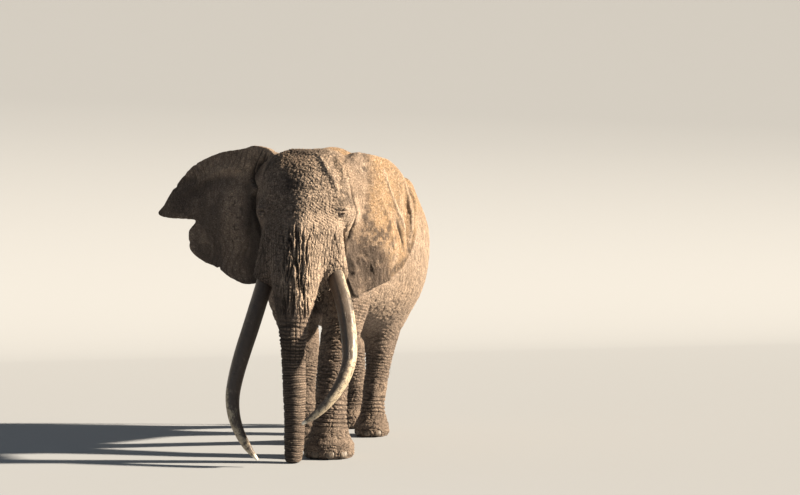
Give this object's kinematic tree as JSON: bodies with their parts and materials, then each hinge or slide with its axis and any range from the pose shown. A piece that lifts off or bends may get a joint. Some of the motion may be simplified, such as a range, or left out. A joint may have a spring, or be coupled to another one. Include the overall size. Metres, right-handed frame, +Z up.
{
  "type": "african elephant",
  "caption": "Life-size still model of a bull African savanna elephant in mid-stride, one ear spread, long curved tusks, trunk reaching the ground.",
  "frame": {"origin": "middle of the footprint of the whole animal, on the floor", "axes": "+X towards the animal's left side, -Y the way its body faces, +Z up"},
  "size_m": [2.9007, 4.5313, 3.3923],
  "materials": {
    "skin": "dusty wrinkled hide",
    "ivory": "worn ivory",
    "nail": "dry horn",
    "eye": "wet",
    "hair": "stiff black hair"
  },
  "bodies": {
    "root": {"belly_sheath": "skin", "ear_left": "skin", "ear_right": "skin", "eye_left": "eye", "eye_right": "eye", "head": "skin", "leg_front_left": "skin", "leg_front_right": "skin", "leg_hind_left": "skin", "leg_hind_right": "skin", "lower_jaw": "skin", "nail_front_left_1": "nail", "nail_front_left_2": "nail", "nail_front_left_3": "nail", "nail_front_left_4": "nail", "nail_front_right_1": "nail", "nail_front_right_2": "nail", "nail_front_right_3": "nail", "nail_front_right_4": "nail", "nail_hind_left_1": "nail", "nail_hind_left_2": "nail", "nail_hind_left_3": "nail", "nail_hind_right_1": "nail", "nail_hind_right_2": "nail", "nail_hind_right_3": "nail", "neck": "skin", "tail": "skin", "tail_tuft": "hair", "torso": "skin", "trunk": "skin", "tusk_left": "ivory", "tusk_right": "ivory"}
  },
  "joints": []
}
